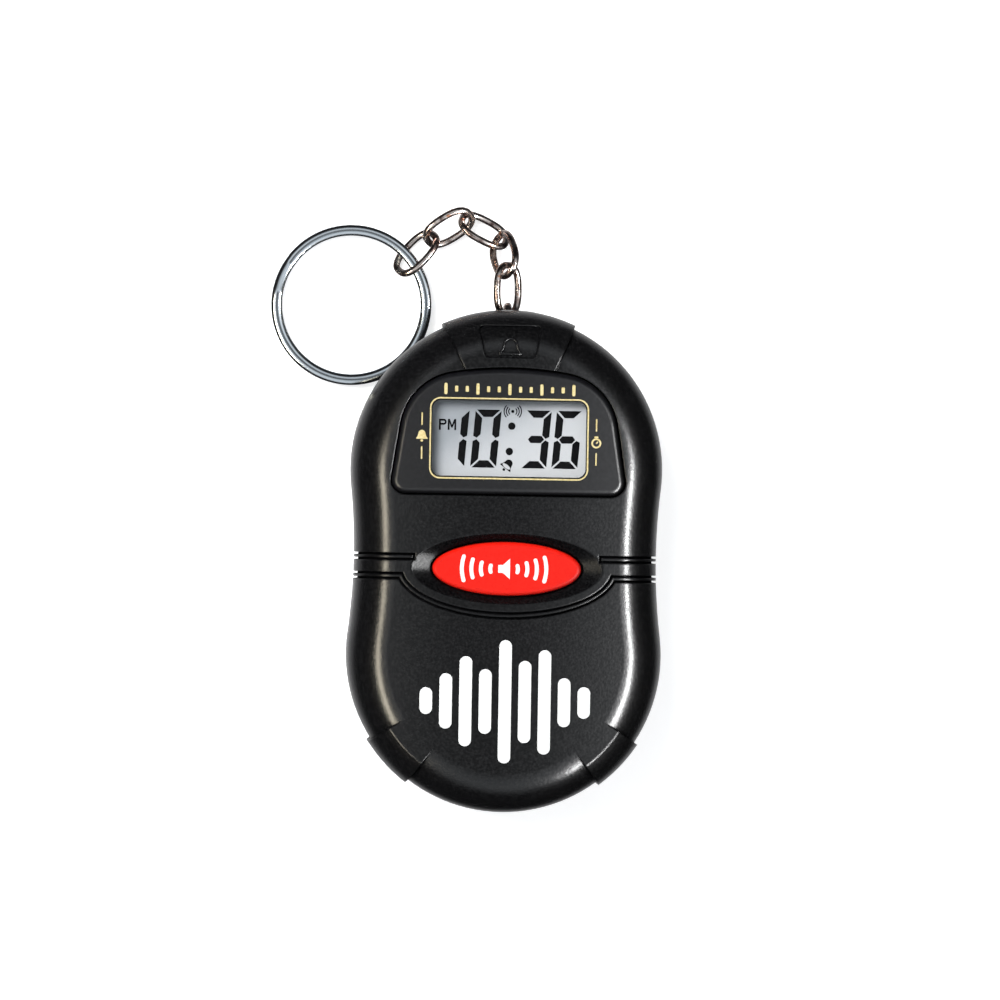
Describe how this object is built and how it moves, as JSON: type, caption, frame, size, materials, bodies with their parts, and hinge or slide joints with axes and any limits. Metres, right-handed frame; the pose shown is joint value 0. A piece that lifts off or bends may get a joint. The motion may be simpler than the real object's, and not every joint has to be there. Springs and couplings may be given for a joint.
{
  "type": "key-ring talking clock",
  "caption": "Palm-sized black talking clock with a display, a big oval talk button, a speaker grille on the back, and a short chain with a split key ring.",
  "frame": {"origin": "on the flat back face, midway between the centres of the case's two round ends", "axes": "+Z out of the front of the clock, +Y towards the chain and key ring, +X to the right seen from the front"},
  "size_m": [0.0502, 0.0773, 0.0173],
  "materials": {
    "case_plastic": "black ABS moulded in a spark-eroded tool",
    "bezel_plastic": "satin black acrylic-faced plate",
    "button_plastic": "red-orange moulded plastic",
    "window_clear": "clear acrylic sheet",
    "lcd_glass": "reflective liquid-crystal glass",
    "spring_steel": "bright plated flat spring wire",
    "nickel_wire": "dark nickel-plated round wire",
    "cell_steel": "stainless cell can",
    "screw_steel": "zinc-plated steel",
    "contact_metal": "sprung phosphor-bronze strip",
    "board_laminate": "glass-fibre laminate with green mask",
    "resin": "black potting resin",
    "can_metal": "drawn metal can",
    "speaker_metal": "pressed and blackened steel",
    "cone_paper": "black pressed paper",
    "silicone": "grey silicone rubber",
    "lead_cover": "soft insulated lead"
  },
  "bodies": {
    "case": {"front_shell": "case_plastic", "rear_shell": "case_plastic", "display_bezel": "bezel_plastic", "display_window": "window_clear", "lcd_panel": "lcd_glass", "zebra_strip": "silicone", "circuit_board": "board_laminate", "clock_chip": "resin", "voice_chip": "resin", "quartz_crystal": "can_metal", "capacitor": "can_metal", "speaker_frame": "speaker_metal", "speaker_magnet": "speaker_metal", "speaker_cone": "cone_paper", "speaker_leads": "lead_cover", "board_screws": "screw_steel", "case_screws": "screw_steel", "battery_cell_left": "cell_steel", "battery_cell_right": "cell_steel", "contact_negative": "contact_metal", "contact_positive": "contact_metal", "talk_dome": "silicone", "lug_eye": "nickel_wire", "mode_dome": "silicone", "set_dome": "silicone"},
    "talk_key": {"talk_button": "button_plastic"},
    "mode_key": {"mode_button": "case_plastic"},
    "set_key": {"set_button": "case_plastic"},
    "door": {"battery_door": "case_plastic", "battery_door_screw": "screw_steel", "contact_bridge": "contact_metal"},
    "link_1": {"chain_link_1": "nickel_wire"},
    "link_2": {"chain_link_2": "nickel_wire"},
    "link_3": {"chain_link_3": "nickel_wire"},
    "link_4": {"chain_link_4": "nickel_wire"},
    "link_5": {"chain_link_5": "nickel_wire"},
    "ring": {"split_ring": "spring_steel"}
  },
  "joints": [
    {"name": "talk_press", "type": "slide", "parent": "case", "child": "talk_key", "axis": [0, 0, -1], "range_m": [0, 0.0009], "stiffness_N_per_m": 1500, "deforming": ["talk_dome"]},
    {"name": "mode_press", "type": "slide", "parent": "case", "child": "mode_key", "axis": [0, 0, 1], "range_m": [0, 0.0007], "stiffness_N_per_m": 1200, "deforming": ["mode_dome"]},
    {"name": "set_press", "type": "slide", "parent": "case", "child": "set_key", "axis": [0, 0, 1], "range_m": [0, 0.0007], "stiffness_N_per_m": 1200, "deforming": ["set_dome"]},
    {"name": "door_release", "type": "slide", "parent": "case", "child": "door", "axis": [0, 0, -1], "range_m": [0, 0.008]},
    {"name": "link_1_swing", "type": "hinge", "parent": "case", "child": "link_1", "pos_m": [0, 0.0327, 0.0056], "axis": [0, 0, 1], "range_deg": [-40, 0]},
    {"name": "link_2_swing", "type": "hinge", "parent": "link_1", "child": "link_2", "pos_m": [0, 0.038, 0.0056], "axis": [-0.6947, 0, 0.7193], "range_deg": [-60, 0]},
    {"name": "link_3_swing", "type": "hinge", "parent": "link_2", "child": "link_3", "pos_m": [-0.00117, 0.0416, 0.00207], "axis": [-0.5091, -0.6812, -0.5261], "range_deg": [0, 60]},
    {"name": "link_4_swing", "type": "hinge", "parent": "link_3", "child": "link_4", "pos_m": [-0.00587, 0.04389, 0.00276], "axis": [-0.2061, -0.6439, 0.7368], "range_deg": [-60, 0]},
    {"name": "link_5_swing", "type": "hinge", "parent": "link_4", "child": "link_5", "pos_m": [-0.0102, 0.04108, 0.00199], "axis": [0.4779, -0.5474, -0.687], "range_deg": [0, 60]},
    {"name": "ring_spin", "type": "hinge", "parent": "link_5", "child": "ring", "pos_m": [-0.01989, 0.03267, 0.00147], "axis": [-0.0452, -0.0328, 0.9984], "continuous": true}
  ]
}
